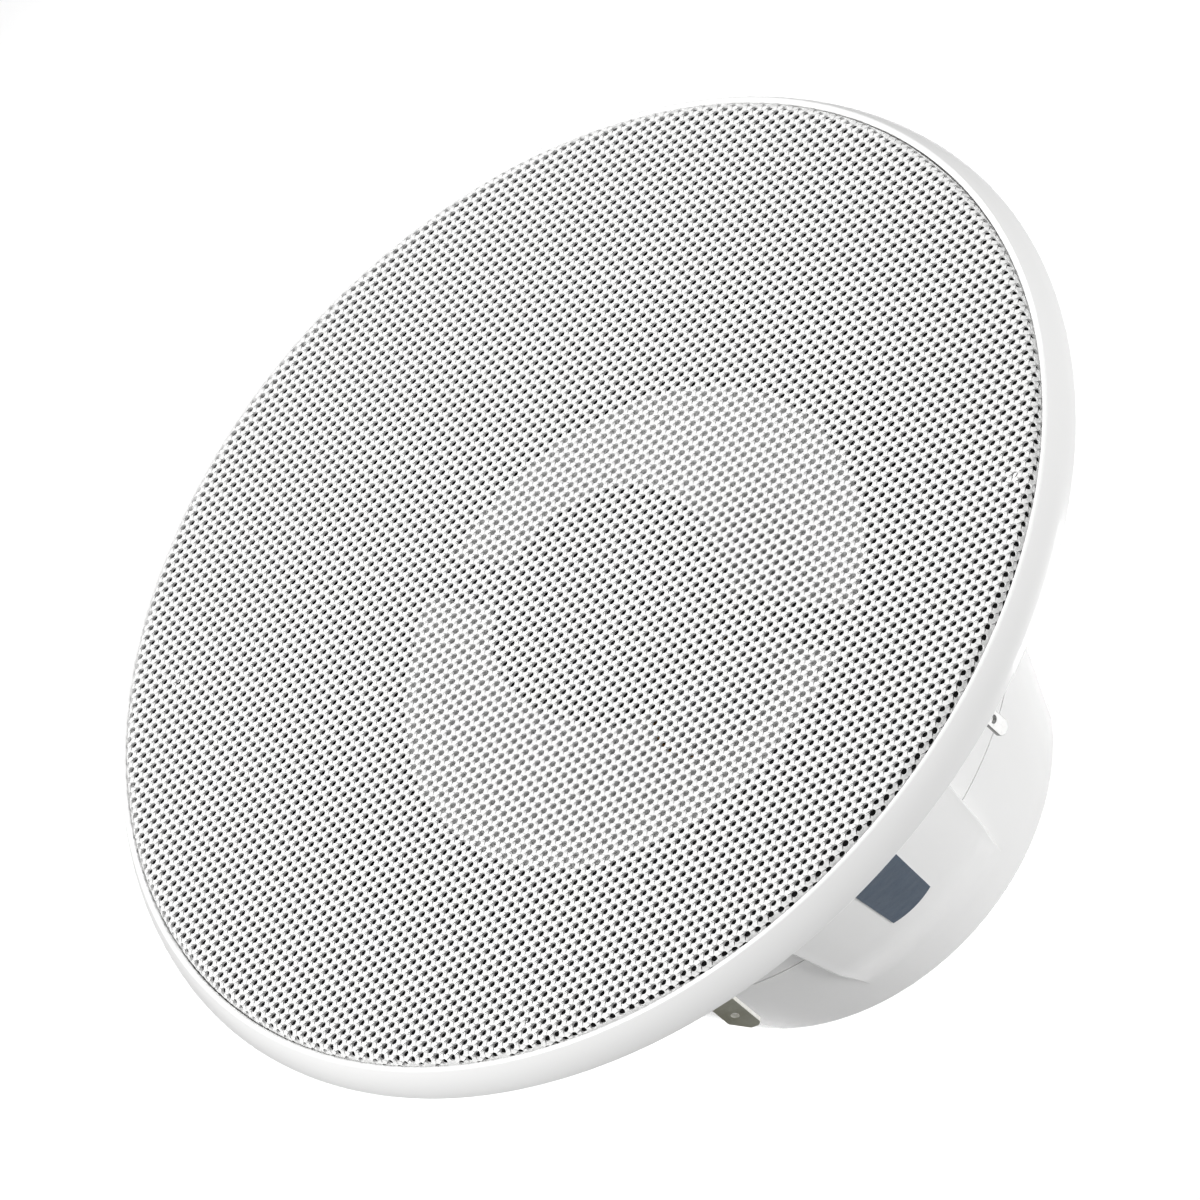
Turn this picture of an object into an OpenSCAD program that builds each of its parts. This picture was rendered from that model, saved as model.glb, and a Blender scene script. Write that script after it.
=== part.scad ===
// Round flush-mount speaker for a boat: perforated domed grille in a white
// bezel, basket with cone, surround, spider and motor, a bridge-mounted
// tweeter, and a white shell and rear cover that close the back.
// Frame: Z = 0 is the plane that seats on the panel, +Z points out through
// the grille. Millimetres.

/* [Front] */
// Outer diameter of the bezel ring
bezel_d = 176; // [174:1:182]
// Height of the grille's centre above the panel
dome_top = 7.5; // [7:0.5:9]
// Drop of the domed sheet from its centre to its edge
dome_drop = 1.55; // [1:0.05:1.8]
// Thickness of the grille sheet
mesh_t = 0.6; // [0.5:0.1:0.8]

/* [Mounting] */
// Pitch circle of the four panel screws
screw_pcd = 156; // [150:1:160]
// Diameter of each panel screw hole
screw_hole_d = 4.6; // [4:0.1:5]
// Thickness of the foam gasket under the flange
gasket_t = 1; // [0.6:0.2:1]

/* [Body] */
// Radius of the shell where it passes through the panel
shell_r = 63.5; // [63:0.5:65]
// Radius of the body at the seam between shell and rear cover
seam_r = 50.1; // [49:0.1:51]
// Radius of the flat back of the rear cover
back_r = 39.3; // [38:0.1:40]
// Depth of the seam behind the panel
seam_depth = 44.1; // [44:0.1:45]
// Full depth behind the panel
body_depth = 75.6; // [75:0.1:80]
// Wall thickness of shell and cover
wall = 2; // [1.6:0.1:2.2]

/* [Woofer] */
// Radius at which the cone shows
cone_r = 42.8; // [40:0.1:43]
// Depth of the cone's outer edge behind the panel
cone_edge_depth = 12.2; // [11:0.1:13]
// Thickness of the cone
cone_t = 0.6; // [0.5:0.1:0.8]
// Outer radius of the voice coil former
former_r = 11.2; // [11:0.1:11.4]
// Outer radius of the ring magnet
magnet_r = 35; // [30:0.5:36]

/* [Tweeter] */
// Outer radius of the ring that holds the tweeter
tweeter_r = 19.5; // [19:0.1:21]
// Width of each bridge arm
arm_w = 6; // [4:0.5:8]
// Direction of the bridge
arm_azimuth = 115.5; // [0:0.5:180]

/* [Terminals] */
// Width of the positive tab
tab_pos_w = 4.75; // [4:0.05:5]
// Width of the negative tab
tab_neg_w = 2.8; // [2.6:0.1:3.2]
// Thickness of each tab
tab_t = 0.8; // [0.5:0.1:0.8]
// Distance of the tabs from the centre line
tab_r = 56; // [55.5:0.1:56.5]

/* [Hidden] */
$fn = 144;

white = [0.93, 0.93, 0.92];
black = [0.10, 0.10, 0.11];
steel = [0.72, 0.73, 0.74];

bezel_r = bezel_d / 2;
mesh_r = bezel_r - 3.3;           // outer radius of the sheet's turned rim
flange_top = 3.5;
ledge_z = flange_top;             // the rim stands on the flange
flange_r = bezel_r - 3.5;
edge_z = dome_top - dome_drop;
rim_bend = min(1.55, edge_z - ledge_z - 0.05); // outer radius of that bend
m1 = (shell_r - seam_r) / (seam_depth + gasket_t);
m2 = (seam_r - back_r) / (body_depth - seam_depth);
panel_azimuth = -93.75;           // middle of the wiring cover
panel_shift = 11.5;
tab_pos_a = -127.3;
tab_neg_a = -61.9;
tab_pos_tip = -46.2;
tab_neg_tip = -39.6;
block_end = -30;
cone_z = -cone_edge_depth;
neck_z = -36.5;
shelf_z = -39;

// radius of the body's outside at height z
function body_r(z) = z > -seam_depth ? seam_r + (z + seam_depth) * m1
                                     : seam_r + (z + seam_depth) * m2;
// height of the grille's outer face at radius r
function dome_z(r) = let (q = r / (mesh_r - rim_bend))
  dome_top - dome_drop * (0.866 * q * q + 0.134 * pow(q, 4));

// a section turned round the centre line
module turned(pts, a = 360) rotate_extrude(angle = a) polygon(pts);

// ---------- front ----------
// One deep-drawn sheet: shallow dome, small bend, turned-down rim. The round
// perforation is too fine for this solid and is left to the finish.
module grille_mesh() color(white) {
  rd = mesh_r - rim_bend;
  n = 12;
  outer = [for (i = [0:n]) [rd * i / n, dome_z(rd * i / n)]];
  bend = [for (a = [75:-15:0]) [rd + rim_bend * cos(a), edge_z - rim_bend + rim_bend * sin(a)]];
  ri = rim_bend - mesh_t;
  inner_bend = [for (a = [0:15:75]) [rd + ri * cos(a), edge_z - rim_bend + ri * sin(a)]];
  inner = [for (i = [n:-1:0]) [rd * i / n, dome_z(rd * i / n) - mesh_t]];
  turned(concat(outer, bend, [[mesh_r, ledge_z], [mesh_r - mesh_t, ledge_z]], inner_bend, inner));
}

// Sloped trim ring with a rounded crest, pressed over the edge of the flange.
module bezel_ring() color(white) {
  r = bezel_r;
  turned([[r - 3.5, 0], [r - 0.25, 0], [r, 0.3], [r, 0.55], [r - 0.12, 0.95],
    [r - 1.95, 4.55], [r - 2.15, 4.88], [r - 2.42, 5.1], [r - 2.7, 5.16], [r - 2.92, 5.1],
    [r - 3.05, 4.95], [r - 3.1, 4.7], [r - 3.1, flange_top], [r - 3.5, flange_top]]);
}

module screw_holes(d) {
  for (i = [0:3]) rotate([0, 0, 45 + 90 * i])
    translate([screw_pcd / 2, 0, -1]) cylinder(d = d, h = 8, $fn = 32);
}

module flange_gasket() color([0.16, 0.16, 0.17]) difference() {
  turned([[shell_r + 2.2, 0], [flange_r - 0.1, 0], [flange_r - 0.1, gasket_t], [shell_r + 2.2, gasket_t]]);
  screw_holes(screw_hole_d);
}

// ---------- basket ----------
// One moulding: screw flange, seat of the surround, six spokes, seat of the
// spider and the plate that carries the motor.
module basket() color(black) difference() {
  turned([[59.3, flange_top], [flange_r, flange_top], [flange_r, gasket_t],
    [body_r(gasket_t) - wall - 0.3, gasket_t], [body_r(-15) - wall - 0.3, -15],
    [40.5, -39.5], [36, -44.5], [36, -46], [14, -46], [14, -44], [33.6, -44],
    [33.6, shelf_z], [38.2, shelf_z], [52.4, -16.4], [52.4, -13.4], [55.4, -13.4]]);
  screw_holes(screw_hole_d);
  for (i = [0:5]) rotate([0, 0, -64.6 - 20 + 60 * i])
    turned([[36, -36.6], [62, -36.6], [62, -18], [36, -18]], 40);
}

// ---------- body ----------
module body_shell() color(white) difference() {
  turned([[body_r(gasket_t), gasket_t], [body_r(gasket_t) - wall, gasket_t],
    [seam_r - wall, -seam_depth + 0.6],
    [seam_r - wall - 2, -seam_depth - 0.4], [seam_r - wall - 3.7, -seam_depth - 5.4],
    [seam_r - wall - 2.3, -seam_depth - 5.4], [seam_r - wall - 0.65, -seam_depth - 0.4],
    [seam_r - wall - 0.55, -seam_depth], [seam_r, -seam_depth]]);
  // passages for the two leads, under the terminal block
  for (a = [tab_pos_a, tab_neg_a]) rotate([0, 0, a]) translate([48, 0, -24.6])
    rotate([0, 90, 0]) cylinder(r = 1.4, h = 16, $fn = 32);
}

module rear_cover() color(white) difference() {
  union() {
    turned([[0, -body_depth], [back_r - 0.8, -body_depth], [back_r - 0.25, -body_depth + 0.2],
      [back_r + 0.1, -body_depth + 0.7], [body_r(-seam_depth - 0.25), -seam_depth - 0.25],
      [body_r(-seam_depth - 0.25) - wall - 0.2, -seam_depth - 0.25],
      [back_r - 1.6, -body_depth + 3.6], [back_r - 2.6, -body_depth + 2.5], [0, -body_depth + 2.5]]);
    // bosses that stand off the motor
    for (i = [0:3]) rotate([0, 0, 45 + 90 * i]) translate([25, 0, -body_depth + 2])
      cylinder(r = 5, h = 2.6, $fn = 48);
  }
  for (i = [0:3]) rotate([0, 0, 45 + 90 * i]) translate([25, 0, -body_depth]) {
    translate([0, 0, -1]) cylinder(r = 3.2, h = 2.9, $fn = 48);
    translate([0, 0, -1]) cylinder(r = 1.7, h = 8, $fn = 32);
  }
  // shallow dished field in the back
  translate([0, 0, -body_depth - 1]) cylinder(r = 16, h = 1.6, $fn = 96);
}

module cover_seal() color([0.07, 0.07, 0.07])
  turned([[seam_r - 2.3, -seam_depth - 0.25], [seam_r - 0.6, -seam_depth - 0.25],
    [seam_r - 0.6, -seam_depth], [seam_r - 2.3, -seam_depth]]);

module cover_screws() color(steel)
  for (i = [0:3]) rotate([0, 0, 45 + 90 * i]) translate([25, 0, -body_depth]) difference() {
    union() {
      translate([0, 0, 0.3]) cylinder(r = 2.8, h = 1.6, $fn = 48);
      translate([0, 0, 1.5]) cylinder(r = 1.5, h = 6, $fn = 32);
    }
    for (a = [0, 90]) rotate([0, 0, a]) translate([-1.6, -0.35, -0.2]) cube([3.2, 0.7, 1.5]);
  }

// The body's outside as one solid, cut from what lies on it.
module body_solid()
  turned([[0, -body_depth - 5], [body_r(-body_depth - 5), -body_depth - 5], [seam_r, -seam_depth],
    [body_r(0), 0], [0, 0]]);

// Raised, flatter field over the wire run, from under the terminals back
// along the cover, into which it runs out.
module wiring_cover() color(white) difference() {
  rotate([0, 0, panel_azimuth]) translate([-panel_shift, 0, 0]) rotate([0, 0, -16])
    turned([[seam_r - 4.8, -66], [seam_r + 3.5, -66], [seam_r + 12.6 - 8.9 * 0.33, -53], [seam_r + 12.6 + 13.6 * 0.33, block_end - 0.5],
      [seam_r + 6, block_end - 0.5]], 32);
  body_solid();
}

// Film on the raised field, with a bowed rear edge.
module blank_label() color([0.30, 0.36, 0.43]) intersection() {
  rotate([0, 0, panel_azimuth + 0.2]) translate([-panel_shift, 0, 0]) rotate([0, 0, -4.05])
    turned([[seam_r + 12.605 - 7.3 * 0.33, -51.4], [seam_r + 12.85 - 7.3 * 0.33, -51.4],
      [seam_r + 12.85 + 11.6 * 0.33, -32.5], [seam_r + 12.605 + 11.6 * 0.33, -32.5]], 8.1);
  rotate([0, 0, panel_azimuth + 0.2]) {
    translate([40, 0, -41.8]) rotate([0, 90, 0]) cylinder(r = 9.4, h = 20, $fn = 128);
    translate([40, -5, -41.8]) cube([20, 10, 12]);
  }
}

// ---------- terminals ----------
// Flat blade with a chamfered tip, a hole, and a narrow tongue for its lead.
module tab(a, w, tip, hole_z, cut = 0.9) rotate([0, 0, a]) difference() {
  translate([tab_r - tab_t / 2, 0, 0]) rotate([90, 0, 90])
    linear_extrude(height = tab_t)
      polygon([[-w / 2, -25.8], [-w / 2, tip + cut], [-w / 2 + 0.89 * cut, tip], [w / 2 - 0.8, tip],
        [w / 2, tip + 0.9], [w / 2, -25.8], [0.8, -25.8], [0.8, -24.7], [-0.8, -24.7], [-0.8, -25.8]]);
  translate([tab_r - 3, 0, hole_z]) rotate([0, 90, 0]) cylinder(r = 0.65, h = 6, $fn = 32);
}

module terminal_positive() color([0.80, 0.78, 0.68]) tab(tab_pos_a, tab_pos_w, tab_pos_tip, -41.7, 2.8);
module terminal_negative() color([0.80, 0.80, 0.78]) tab(tab_neg_a, tab_neg_w, tab_neg_tip, -35.7);

module terminal_block() color(white) difference() {
  rotate([0, 0, -133.5]) turned([[body_r(block_end) - 1, block_end], [58.8, block_end],
    [59.3, block_end + 0.5], [60.6, -16], [body_r(-16) - 1, -16]], 77.7);
  body_solid();
  for (t = [[tab_pos_a, tab_pos_w], [tab_neg_a, tab_neg_w]]) rotate([0, 0, t[0]]) {
    translate([tab_r - tab_t / 2 - 0.05, -t[1] / 2 - 0.05, block_end - 1])
      cube([tab_t + 0.1, t[1] + 0.1, 5.25]);
    translate([tab_r - tab_t / 2 - 0.05, -0.85, -26]) cube([tab_t + 0.1, 1.7, 1.35]);
  }
}

// Two flexible leads from the tabs to the neck of the cone, each swept along
// a route in one radial plane.
lead_r = 0.5;
lead_route = [[55.6, -24.9], [53.6, -24.9], [50, -24.9], [45.5, -26.8], [41, -29.6], [36.5, -32.4],
  [31, -34.6], [25, -36], [19, -36.9], [15.5, -37], [13.2, -36.9]];
module lead(a) {
  n = len(lead_route);
  k = 8;
  dirs = [for (i = [0:n - 1]) let (p = lead_route[max(i - 1, 0)], q = lead_route[min(i + 1, n - 1)],
    d = q - p) d / norm(d)];
  pts = [for (i = [0:n - 1], j = [0:k - 1]) let (c = lead_route[i], d = dirs[i], u = 360 * j / k)
    [c[0] - lead_r * cos(u) * d[1], lead_r * sin(u), c[1] + lead_r * cos(u) * d[0]]];
  sides = [for (i = [0:n - 2], j = [0:k - 1]) [i * k + j, i * k + (j + 1) % k,
    (i + 1) * k + (j + 1) % k, (i + 1) * k + j]];
  ends = [[for (j = [k - 1:-1:0]) j], [for (j = [0:k - 1]) (n - 1) * k + j]];
  rotate([0, 0, a]) polyhedron(points = pts, faces = concat(sides, ends));
}
module lead_wires() color([0.65, 0.42, 0.25]) { lead(tab_pos_a); lead(tab_neg_a); }

// ---------- woofer ----------
// Thin flared cone: rim, curved wall and a short neck on the former.
module woofer_cone() {
  n = 8;
  re = cone_r - 2;
  rn = former_r;
  function wall_pt(t) = [rn + (re - rn) * t, neck_z + 1.2 + (cone_z - neck_z - 1.2) * pow(t, 0.9)];
  top = [for (i = [0:n]) wall_pt(i / n)];
  low = [for (i = [n:-1:1]) wall_pt(i / n) + [cone_t * 0.62, -cone_t * 0.78]];
  color([0.90, 0.90, 0.89]) turned(concat([[rn, neck_z - 1]], top, [[cone_r, cone_z], [cone_r, cone_z - cone_t]], low,
    [[rn + cone_t, neck_z + 0.6], [rn + cone_t, neck_z - 1]]));
}

// Half-roll with a lip under the cone's edge and one on the basket.
module surround() color([0.13, 0.13, 0.13]) {
  rc = 48;
  ro = 4.6;
  t = 0.8;
  zb = cone_z - cone_t;
  turned(concat([[cone_r - 1.2, zb - t], [cone_r - 1.2, zb], [rc - ro, zb]],
    [for (a = [165:-15:15]) [rc + ro * cos(a), zb + ro * sin(a)]],
    [[rc + ro, zb], [55.2, zb], [55.2, -13.4], [rc + ro - t, -13.4]],
    [for (a = [15:15:165]) [rc + (ro - t) * cos(a), zb - 0.2 + (ro - t) * sin(a)]],
    [[rc - ro + t, zb - t]]));
}

// Corrugated disc that centres the former.
module spider() {
  n = 36;
  r0 = former_r + 1;
  r1 = 34.2;
  function wave(i) = [r0 + (r1 - r0) * i / n, -38.75 + 0.7 * sin(360 * 4.5 * i / n)];
  color([0.80, 0.66, 0.36]) turned(concat([[former_r, -39.4], [former_r, -37.9], [r0, -37.9]],
    [for (i = [0:n]) wave(i) + [0, 0.25]],
    [[r1 + 0.6, shelf_z + 0.5], [37.6, shelf_z + 0.5], [37.6, shelf_z], [r1, shelf_z]],
    [for (i = [n - 1:-1:0]) wave(i) - [0, 0.25]], [[r0, -39.4]]));
}

module voice_coil_former() color([0.62, 0.45, 0.20])
  turned([[former_r - 0.3, -57], [former_r, -57], [former_r, neck_z + 1], [former_r - 0.3, neck_z + 1]]);

module voice_coil() color([0.70, 0.36, 0.18])
  turned([[former_r, -56], [former_r + 0.7, -56], [former_r + 0.7, -48], [former_r, -48]]);

module dust_cap() {
  r = former_r - 0.3;
  h = 2.6;
  R = (r * r + h * h) / (2 * h);
  function cap(i, s) = let (x = r * i / 8) [x, neck_z - 0.6 + h - R + sqrt(R * R - x * x) + s];
  color([0.45, 0.45, 0.46]) turned(concat([for (i = [0:8]) cap(i, 0)], [for (i = [8:-1:0]) cap(i, -0.5)]));
}

// ---------- motor ----------
module top_plate() color(steel) turned([[12.5, -51], [33, -51], [33, -46.4], [32.6, -46], [12.5, -46]]);

module ring_magnet() color([0.24, 0.24, 0.26])
  turned([[16, -66], [magnet_r - 0.8, -66], [magnet_r, -65.2], [magnet_r, -51.8], [magnet_r - 0.8, -51], [16, -51]]);

module back_plate_and_pole() color(steel) difference() {
  turned([[0, -71], [32.4, -71], [33, -70.4], [33, -66], [10.3, -66], [10.3, -47], [9.8, -46.5], [0, -46.5]]);
  for (i = [0:3]) rotate([0, 0, 45 + 90 * i]) translate([25, 0, -72]) cylinder(r = 1.55, h = 5, $fn = 32);
}

// ---------- tweeter ----------
// Ring and two straight arms, trimmed to the basket's inner wall.
module tweeter_bridge() color(black) {
  rz = -1.7;
  difference() {
    union() {
      turned([[tweeter_r - 1.45, -7], [tweeter_r - 0.4, -7], [tweeter_r, -6.6], [tweeter_r, rz - 0.5],
        [tweeter_r - 0.5, rz], [tweeter_r - 1.45, rz]]);
      intersection() {
        rotate([0, 0, arm_azimuth]) translate([-62, -arm_w / 2, -5.2]) cube([124, arm_w, 3.3]);
        turned([[0, -5.4], [59.3 - 3.9 * 8.9 / 16.9, -5.4], [59.3 - 3.9 * 5.3 / 16.9, -1.8], [0, -1.8]]);
      }
    }
    translate([0, 0, -8]) cylinder(r = tweeter_r - 1.45, h = 8, $fn = 144);
  }
}

module tweeter_housing() color(black)
  turned([[0, -14.5], [tweeter_r - 3.5, -14.5], [tweeter_r - 1.5, -12.5], [tweeter_r - 1.5, -3],
    [tweeter_r - 3, -3], [tweeter_r - 3, -12], [tweeter_r - 4.2, -13], [0, -13]]);

module tweeter_faceplate() color([0.14, 0.14, 0.15])
  turned([[10.2, -2.4], [10.2, -3], [tweeter_r - 1.5, -3], [tweeter_r - 1.5, -1.7], [12.6, -1.7]]);

module tweeter_dome() {
  r = 9.4;
  h = 3.4;
  R = (r * r + h * h) / (2 * h);
  function cap(i, s) = let (x = r * i / 8) [x, -3.3 + h - R + sqrt(R * R - x * x) + s];
  color([0.20, 0.20, 0.21]) turned(concat([for (i = [0:8]) cap(i, 0)],
    [[10.1, -3], [11.4, -3], [11.4, -3.5], [9.4, -3.7]], [for (i = [7:-1:0]) cap(i, -0.4)]));
}

module tweeter_magnet() color([0.55, 0.56, 0.58])
  turned([[0, -13], [11, -13], [11, -7], [9.4, -7], [9.4, -6], [0, -6]]);

// Lies beside the motor on a pad that fits the magnet's side.
module tweeter_capacitor() color([0.16, 0.20, 0.34]) difference() {
  rotate([0, 0, 60]) translate([38.3, 0, -58.5]) {
    rotate([90, 0, 0]) {
      translate([0, 0, -6.5]) cylinder(r = 3.2, h = 13, $fn = 48);
      translate([0, 0, -7.1]) cylinder(r = 2.6, h = 14.2, $fn = 48);
      for (s = [-1, 1]) translate([0, 0, s > 0 ? 7.1 : -10.1]) cylinder(r = 0.4, h = 3, $fn = 16);
    }
    translate([-4.5, -4, -1.8]) cube([3, 8, 3.6]);
  }
  translate([0, 0, -64]) cylinder(r = magnet_r, h = 10, $fn = 144);
}

grille_mesh();
bezel_ring();
flange_gasket();
basket();
body_shell();
rear_cover();
cover_seal();
cover_screws();
wiring_cover();
blank_label();
terminal_block();
terminal_positive();
terminal_negative();
lead_wires();
woofer_cone();
surround();
spider();
voice_coil_former();
voice_coil();
dust_cap();
top_plate();
ring_magnet();
back_plate_and_pole();
tweeter_bridge();
tweeter_housing();
tweeter_faceplate();
tweeter_dome();
tweeter_magnet();
tweeter_capacitor();
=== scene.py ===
import bpy, bmesh, math
import numpy as np
from mathutils import Matrix, Vector
from mathutils.geometry import delaunay_2d_cdt


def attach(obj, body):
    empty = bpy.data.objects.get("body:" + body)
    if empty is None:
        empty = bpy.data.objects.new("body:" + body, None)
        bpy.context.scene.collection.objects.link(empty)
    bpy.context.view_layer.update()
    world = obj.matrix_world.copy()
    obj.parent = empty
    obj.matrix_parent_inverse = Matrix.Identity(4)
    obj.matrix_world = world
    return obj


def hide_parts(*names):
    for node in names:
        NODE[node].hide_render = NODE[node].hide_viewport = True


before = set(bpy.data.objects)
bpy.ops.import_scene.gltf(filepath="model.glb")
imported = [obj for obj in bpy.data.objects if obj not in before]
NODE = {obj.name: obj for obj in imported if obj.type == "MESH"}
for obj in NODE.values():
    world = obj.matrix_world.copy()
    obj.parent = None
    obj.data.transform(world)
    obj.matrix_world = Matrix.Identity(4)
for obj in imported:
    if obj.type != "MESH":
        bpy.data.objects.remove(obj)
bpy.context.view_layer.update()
MM = 0.001


# ---------------------------------------------------------------- materials
class Mat:
    """A Principled material with small helpers for procedural detail, in object space."""

    def __init__(self, name, base, rough, metallic=0.0, specular=0.5, coat=0.0, coat_rough=0.1, sheen=0.0):
        self.m = bpy.data.materials.new(name)
        self.m.use_nodes = True
        self.t = self.m.node_tree
        self.b = self.t.nodes["Principled BSDF"]
        self.base, self.rough = base, rough
        self.b.inputs["Base Color"].default_value = (*base, 1)
        self.b.inputs["Roughness"].default_value = rough
        self.b.inputs["Metallic"].default_value = metallic
        self.b.inputs["Specular IOR Level"].default_value = specular
        self.b.inputs["Coat Weight"].default_value = coat
        self.b.inputs["Coat Roughness"].default_value = coat_rough
        self.b.inputs["Sheen Weight"].default_value = sheen
        self.co = self.t.nodes.new("ShaderNodeTexCoord").outputs["Object"]
        self.height = None
        self.color = None

    def new(self, kind, **props):
        n = self.t.nodes.new(kind)
        for k, v in props.items():
            setattr(n, k, v)
        return n

    def link(self, a, b):
        self.t.links.new(a, b)

    def noise(self, scale, detail=2.0, rough=0.5, stretch=None, seed=0.0):
        n = self.new("ShaderNodeTexNoise", noise_dimensions="3D")
        n.inputs["Scale"].default_value = scale
        n.inputs["Detail"].default_value = detail
        n.inputs["Roughness"].default_value = rough
        mp = self.new("ShaderNodeMapping")
        mp.inputs["Location"].default_value = (seed * 0.37, seed * 0.21, seed * 0.13)
        mp.inputs["Scale"].default_value = stretch or (1, 1, 1)
        self.link(self.co, mp.inputs["Vector"])
        self.link(mp.outputs[0], n.inputs["Vector"])
        return n.outputs["Fac"]

    def voronoi(self, scale, feature="F1", out="Distance"):
        n = self.new("ShaderNodeTexVoronoi", feature=feature)
        n.inputs["Scale"].default_value = scale
        self.link(self.co, n.inputs["Vector"])
        return n.outputs[out]

    def math(self, op, a, b=None, clamp=False):
        n = self.new("ShaderNodeMath", operation=op, use_clamp=clamp)
        for i, v in enumerate((a, b)):
            if v is None:
                continue
            if isinstance(v, (int, float)):
                n.inputs[i].default_value = v
            else:
                self.link(v, n.inputs[i])
        return n.outputs[0]

    def xyz(self):
        n = self.new("ShaderNodeSeparateXYZ")
        self.link(self.co, n.inputs[0])
        return n.outputs

    def radius(self):
        x, y, z = self.xyz()
        return self.math("SQRT", self.math("ADD", self.math("MULTIPLY", x, x), self.math("MULTIPLY", y, y)))

    def azimuth(self):
        x, y, z = self.xyz()
        return self.math("ARCTAN2", y, x)

    def ramp(self, fac, lo, hi, to_lo, to_hi):
        n = self.new("ShaderNodeMapRange")
        for i, v in enumerate((lo, hi, to_lo, to_hi)):
            n.inputs[i + 1].default_value = v
        self.link(fac, n.inputs[0])
        return n.outputs[0]

    def vary_color(self, fac, other, lo=0.35, hi=0.65):
        """Mixes the base colour towards other, by fac between lo and hi."""
        n = self.new("ShaderNodeMix", data_type="RGBA")
        self.link(self.ramp(fac, lo, hi, 0, 1), n.inputs["Factor"])
        if self.color is None:
            n.inputs["A"].default_value = (*self.base, 1)
            n.inputs[6].default_value = (*self.base, 1)
        else:
            self.link(self.color, n.inputs[6])
        n.inputs[7].default_value = (*other, 1)
        self.color = n.outputs[2]
        self.link(self.color, self.b.inputs["Base Color"])
        return self

    def vary_rough(self, fac, lo, hi):
        self.link(self.ramp(fac, 0.3, 0.7, lo, hi), self.b.inputs["Roughness"])
        return self

    def bump(self, fac, distance, strength=1.0):
        n = self.new("ShaderNodeBump")
        n.inputs["Strength"].default_value = strength
        n.inputs["Distance"].default_value = distance
        self.link(fac, n.inputs["Height"])
        if self.height is not None:
            self.link(self.height, n.inputs["Normal"])
        self.height = n.outputs[0]
        self.link(self.height, self.b.inputs["Normal"])
        return self


def tint(c, k):
    return tuple(max(0.0, min(1.0, v * k)) for v in c)


def powder_coat(name, base):
    m = Mat(name, base, 0.5, specular=0.35)
    m.vary_color(m.noise(55, 3, seed=1), tint(base, 0.975))
    m.vary_color(m.noise(1400, 2, seed=2), tint(base, 0.97), 0.45, 0.75)
    m.vary_rough(m.noise(900, 3, seed=3), 0.42, 0.58)
    m.bump(m.noise(2600, 2, seed=4), 0.000012, 0.5)
    return m.m


def gloss_white(name, base, rough=0.24, seed=0, coat=0.35, coat_rough=0.08):
    m = Mat(name, base, rough, specular=0.5, coat=coat, coat_rough=coat_rough)
    m.vary_color(m.noise(30, 4, seed=seed + 1), tint(base, 0.985))
    m.vary_color(m.noise(900, 2, 0.5, seed=seed + 5), tint(base, 0.99), 0.4, 0.8)
    m.vary_rough(m.noise(60, 2, seed=seed + 2), rough - 0.02, rough + 0.04)
    m.bump(m.noise(38, 1, seed=seed + 3), 0.00012, 0.35)
    m.bump(m.noise(3200, 2, seed=seed + 4), 0.000004, 0.4)
    return m.m


def black_plastic(name, base, rough=0.5, seed=0):
    m = Mat(name, base, rough, specular=0.3)
    m.vary_color(m.noise(260, 4, seed=seed), tint(base, 1.7), 0.4, 0.75)
    m.vary_rough(m.noise(420, 3, seed=seed + 1), rough - 0.08, rough + 0.12)
    m.bump(m.noise(1900, 3, seed=seed + 2), 0.00003, 0.6)
    return m.m


def rubber(name, base, cells=2200, depth=0.00003):
    m = Mat(name, base, 0.72, specular=0.3)
    m.vary_color(m.noise(140, 3, seed=2), tint(base, 1.9))
    m.vary_rough(m.noise(500, 2, seed=3), 0.62, 0.82)
    m.bump(m.voronoi(cells), depth, 0.7)
    m.bump(m.noise(3600, 2, seed=5), 0.00001, 0.5)
    return m.m


def foam(name, base):
    m = Mat(name, base, 0.9, specular=0.2)
    v = m.voronoi(1700)
    # lighter on the raised cell walls and darker in the pits, where the bump is lowest: painted shade in the
    # pits
    m.vary_color(v, tint(base, 2.6), 0.1, 0.6)
    m.vary_rough(m.noise(600, 2), 0.82, 0.96)
    m.bump(v, 0.00012, 0.9)
    return m.m


def steel(name, base, rough=0.3, around=False, tarnish=None, seed=0, metallic=1.0):
    m = Mat(name, base, rough, metallic=metallic)
    m.vary_color(m.noise(220, 5, 0.6, seed=seed), tarnish or tint(base, 0.82), 0.4, 0.7)
    m.vary_color(m.noise(1700, 3, seed=seed + 3), tint(base, 0.9), 0.5, 0.75)
    if around:
        fac = m.noise(1, 3, stretch=(900, 900, 900), seed=seed + 1)
    else:
        fac = m.noise(1, 4, stretch=(260, 260, 5200), seed=seed + 1)
    m.vary_rough(fac, rough - 0.06, rough + 0.14)
    m.bump(fac, 0.000008, 0.6)
    return m.m


def cloth(name, base, threads=1500, depth=0.00006):
    """Plain weave that follows circles and radii."""
    m = Mat(name, base, 0.85, specular=0.2, sheen=0.2)
    r, a = m.radius(), m.azimuth()
    ring = m.math("SINE", m.math("MULTIPLY", r, threads * math.tau))
    ray = m.math("SINE", m.math("MULTIPLY", a, 300))
    weave = m.math("ADD", m.math("MULTIPLY", m.math("ABSOLUTE", ring), 0.5), m.math("MULTIPLY", m.math("ABSOLUTE", ray), 0.5))
    m.vary_color(weave, tint(base, 0.55), 0.2, 1.0)
    m.vary_color(m.noise(120, 3), tint(base, 0.8), 0.45, 0.8)
    m.vary_rough(m.noise(900, 2), 0.78, 0.94)
    m.bump(weave, depth, 0.8)
    return m.m


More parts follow.
